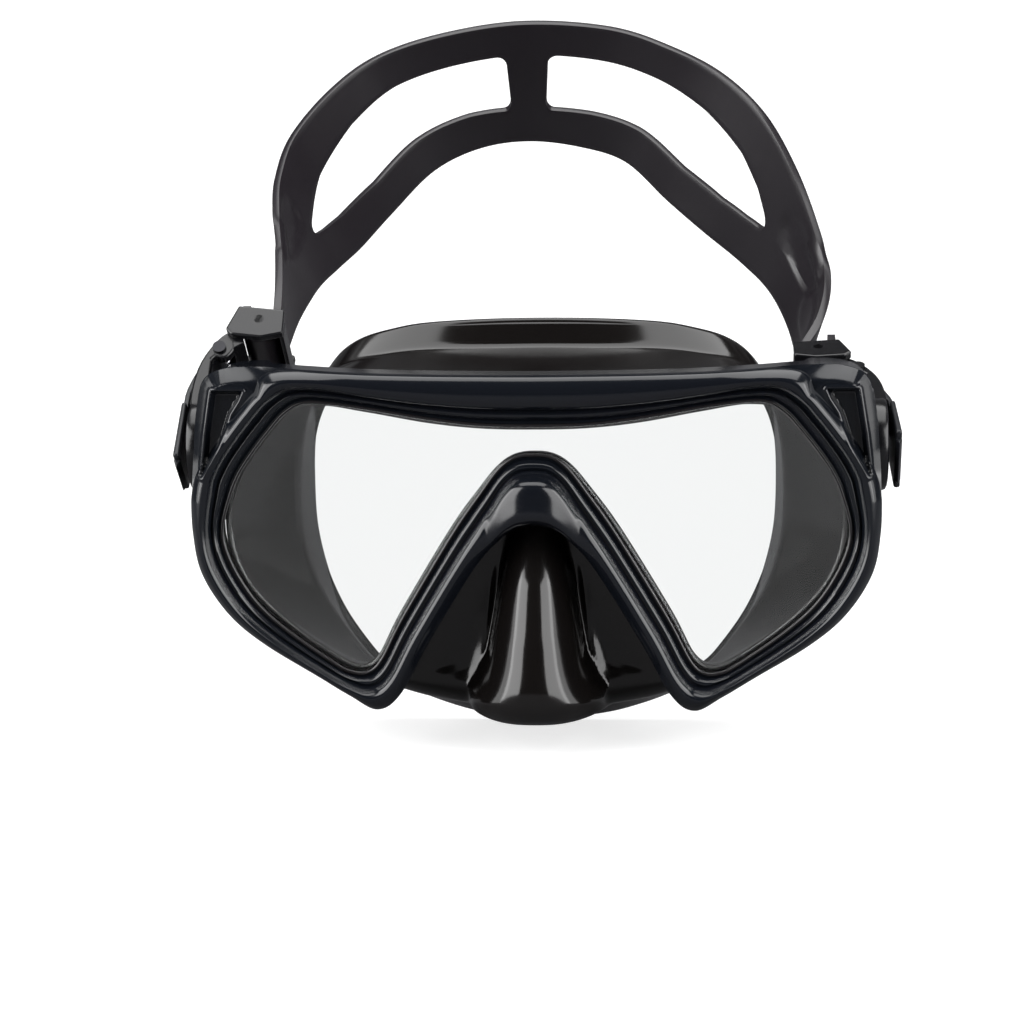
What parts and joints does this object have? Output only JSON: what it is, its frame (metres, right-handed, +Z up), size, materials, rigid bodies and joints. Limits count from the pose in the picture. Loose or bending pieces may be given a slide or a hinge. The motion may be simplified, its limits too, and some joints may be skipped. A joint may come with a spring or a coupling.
{
  "type": "diving mask",
  "caption": "Single-lens diving mask: rigid frame round a notched glass pane, silicone skirt with nose pocket, and a split strap on swivel buckles with release levers.",
  "frame": {"origin": "centre of the skirt's face opening, in the plane of the seal at the temples", "axes": "+X across the face, +Y out of the opening towards the wearer, +Z up; the lens faces -Y"},
  "size_m": [0.1792, 0.1418, 0.1836],
  "materials": {
    "frame": "gloss black",
    "lens": "clear tempered",
    "ring": "matt black",
    "skirt": "satin black silicone",
    "strap": "satin dark grey silicone",
    "buckle": "gloss black",
    "lever": "satin black",
    "roller": "matt black",
    "steel": "stainless steel"
  },
  "bodies": {
    "mask": {"frame": "frame", "lens": "lens", "retaining_ring": "ring", "skirt": "skirt", "left_pivot_pin": "steel", "left_pivot_clip": "steel", "right_pivot_pin": "steel", "right_pivot_clip": "steel"},
    "strap": {"strap": "strap"},
    "left_buckle": {"left_buckle_body": "buckle", "left_lever_pin": "steel", "left_lever_spring": "steel", "left_roller_pin": "steel"},
    "left_lever": {"left_release_lever": "lever"},
    "left_roller": {"left_strap_roller": "roller"},
    "right_buckle": {"right_buckle_body": "buckle", "right_lever_pin": "steel", "right_lever_spring": "steel", "right_roller_pin": "steel"},
    "right_lever": {"right_release_lever": "lever"},
    "right_roller": {"right_strap_roller": "roller"}
  },
  "joints": [
    {"name": "strap_swing", "type": "hinge", "parent": "mask", "child": "strap", "pos_m": [0, -0.033, 0.014], "axis": [1, 0, 0], "range_deg": [-40, 45]},
    {"name": "left_buckle_swivel", "type": "hinge", "parent": "mask", "child": "left_buckle", "pos_m": [-0.0864, -0.033, 0.014], "axis": [1, 0, 0], "range_deg": [-40, 45]},
    {"name": "left_lever_press", "type": "hinge", "parent": "left_buckle", "child": "left_lever", "pos_m": [-0.0806, -0.01815, 0.03234], "axis": [0, -0.7771, 0.6293], "range_deg": [0, 2.5], "stiffness_Nm_per_rad": 0.5, "springref_deg": -4.58},
    {"name": "left_roller_turn", "type": "hinge", "parent": "left_buckle", "child": "left_roller", "pos_m": [-0.0709, -0.01349, 0.03809], "axis": [0, -0.7771, 0.6293], "continuous": true},
    {"name": "right_buckle_swivel", "type": "hinge", "parent": "mask", "child": "right_buckle", "pos_m": [0.0864, -0.033, 0.014], "axis": [1, 0, 0], "range_deg": [-40, 45]},
    {"name": "right_lever_press", "type": "hinge", "parent": "right_buckle", "child": "right_lever", "pos_m": [0.0806, -0.01128, 0.02322], "axis": [0, 0.3907, -0.9205], "range_deg": [0, 2.5], "stiffness_Nm_per_rad": 0.5, "springref_deg": -4.58},
    {"name": "right_roller_turn", "type": "hinge", "parent": "right_buckle", "child": "right_roller", "pos_m": [0.0709, -0.00446, 0.02611], "axis": [0, -0.3907, 0.9205], "continuous": true}
  ],
  "couplings": [
    {"joint": "left_buckle_swivel", "follows": "strap_swing", "ratio": 1},
    {"joint": "right_buckle_swivel", "follows": "strap_swing", "ratio": 1}
  ]
}
